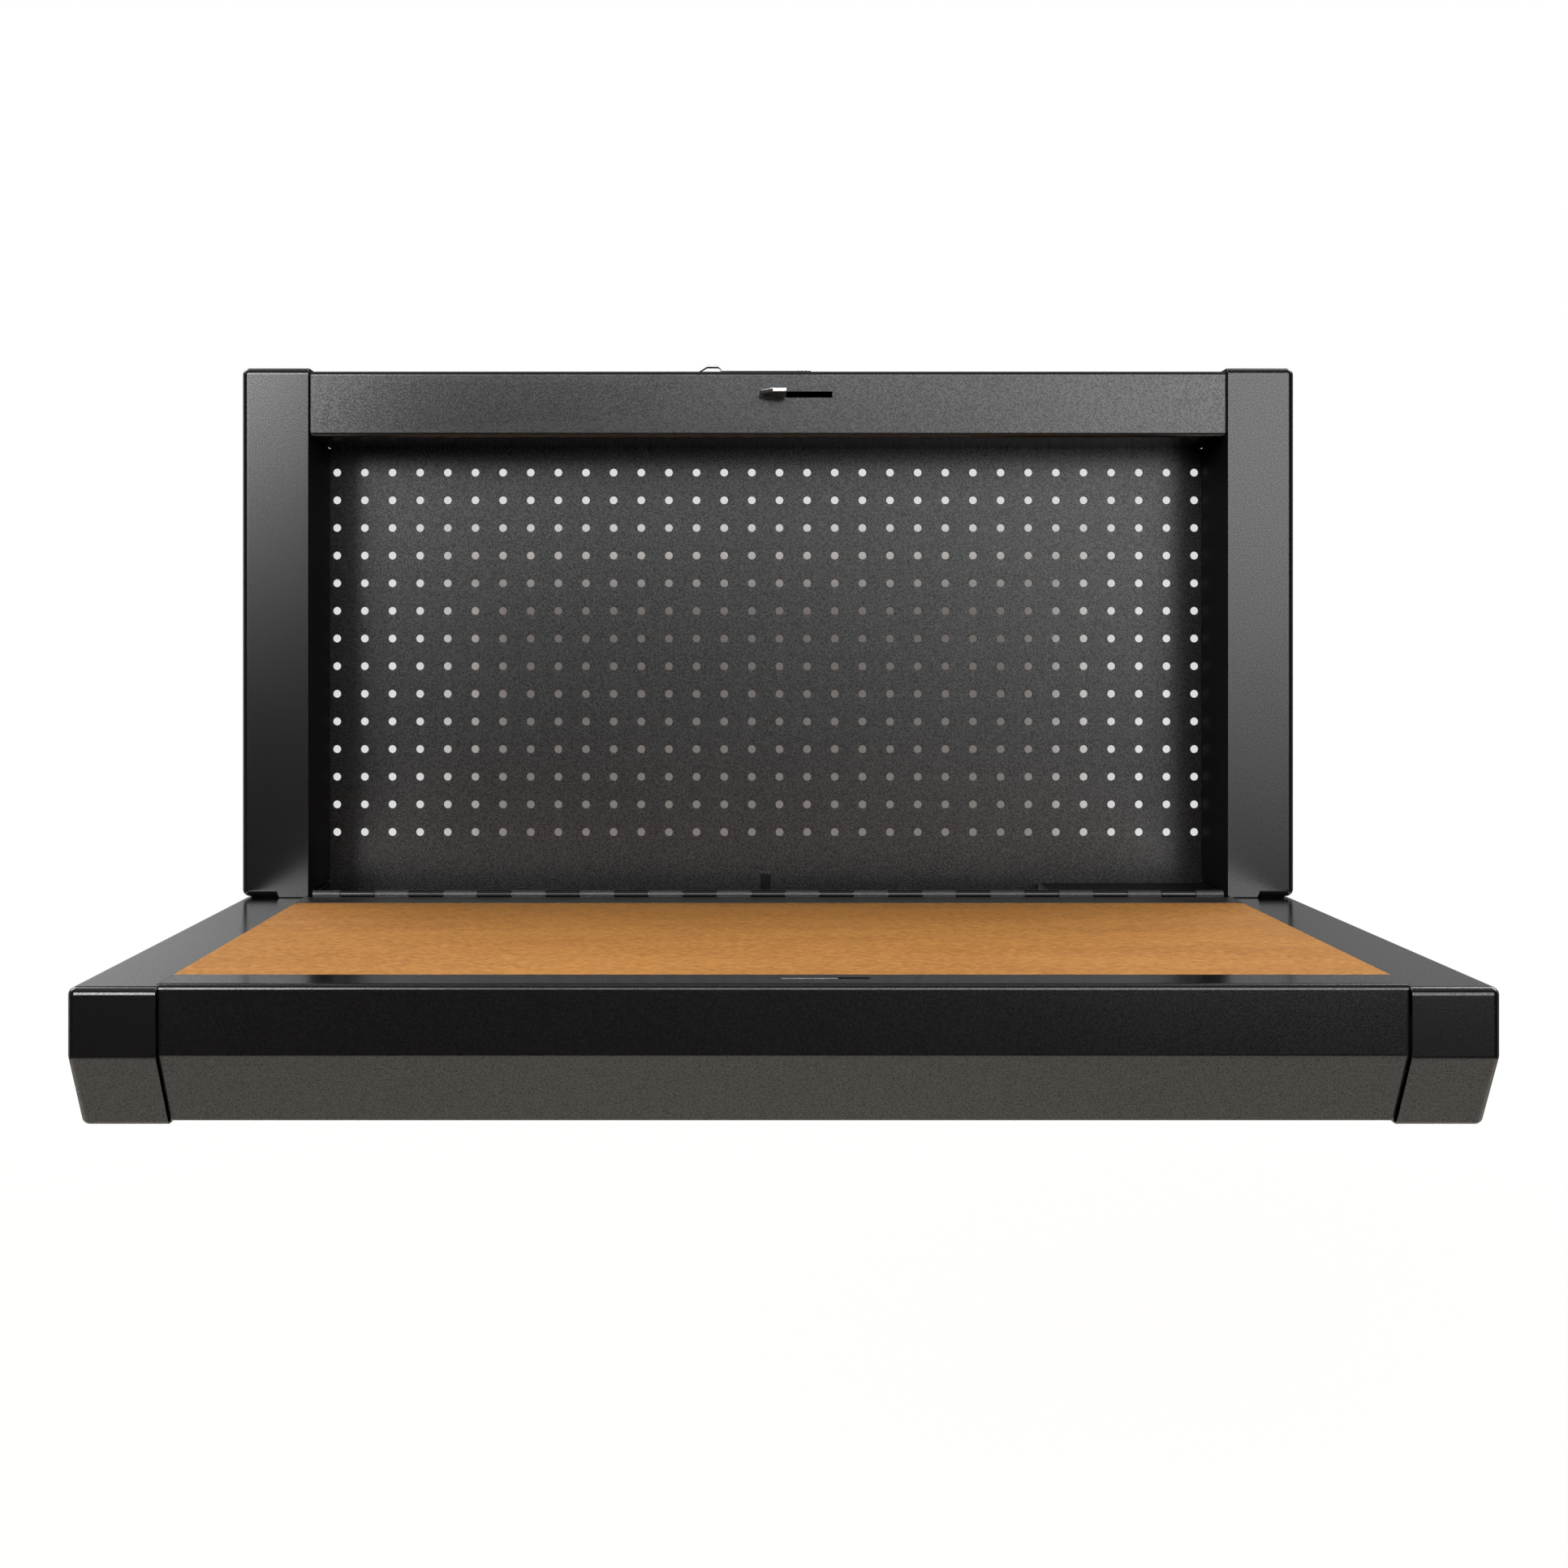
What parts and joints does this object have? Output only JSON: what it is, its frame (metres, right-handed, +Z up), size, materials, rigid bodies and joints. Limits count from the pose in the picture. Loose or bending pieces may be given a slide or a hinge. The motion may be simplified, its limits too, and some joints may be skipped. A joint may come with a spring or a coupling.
{
  "type": "wall mounted folding workbench",
  "caption": "Steel wall bench with a perforated tool recess, a long hinge and a board worktop that folds up and latches.",
  "frame": {"origin": "centre of the four wall bolts, in the plane of the wall", "axes": "+X to the right along the bench, +Y into the wall, +Z up"},
  "size_m": [0.914, 0.582, 0.56],
  "materials": {
    "powder_coat": "fine textured black powder coat",
    "gloss_black": "smooth gloss black",
    "zinc_steel": "bright zinc plate",
    "board": "sanded fibreboard",
    "pad": "matte"
  },
  "bodies": {
    "wall_frame": {"floor_plate": "powder_coat", "guide_rod": "zinc_steel", "hanger_rail": "powder_coat", "header_beam": "powder_coat", "header_screws": "zinc_steel", "hinge_fixed_leaf": "gloss_black", "hinge_pin": "zinc_steel", "hinge_rail": "powder_coat", "hinge_rivets": "zinc_steel", "latch_bracket": "zinc_steel", "latch_spring": "zinc_steel", "left_post": "powder_coat", "left_recess_wall": "powder_coat", "lower_wall_rail": "powder_coat", "panel_clip": "powder_coat", "peg_panel": "powder_coat", "rail_gussets": "powder_coat", "right_post": "powder_coat", "right_recess_wall": "powder_coat", "wall_cleat": "powder_coat"},
    "bench": {"board_screws": "zinc_steel", "bottom_panel": "powder_coat", "front_beam": "powder_coat", "hinge_moving_leaf": "powder_coat", "keeper_plate": "zinc_steel", "left_front_bracket": "powder_coat", "left_rear_bracket": "powder_coat", "left_side_rail": "powder_coat", "left_tail_pad": "pad", "rear_apron": "powder_coat", "right_front_bracket": "powder_coat", "right_rear_bracket": "powder_coat", "right_side_rail": "powder_coat", "right_tail_pad": "pad", "worktop_board": "board", "worktop_rib_1": "powder_coat", "worktop_rib_2": "powder_coat", "worktop_rib_3": "powder_coat", "worktop_rib_4": "powder_coat"},
    "latch": {"latch_block": "zinc_steel", "latch_hook": "zinc_steel", "pull_loop": "zinc_steel", "release_plate": "powder_coat"}
  },
  "joints": [
    {"name": "bench_fold", "type": "hinge", "parent": "wall_frame", "child": "bench", "pos_m": [0, -0.12, -0.1766], "axis": [-1, 0, 0], "range_deg": [0, 90]},
    {"name": "latch_slide", "type": "slide", "parent": "wall_frame", "child": "latch", "axis": [1, 0, 0], "range_m": [0, 0.024], "stiffness_N_per_m": 250, "springref_m": -0.02, "deforming": ["latch_spring"]}
  ]
}
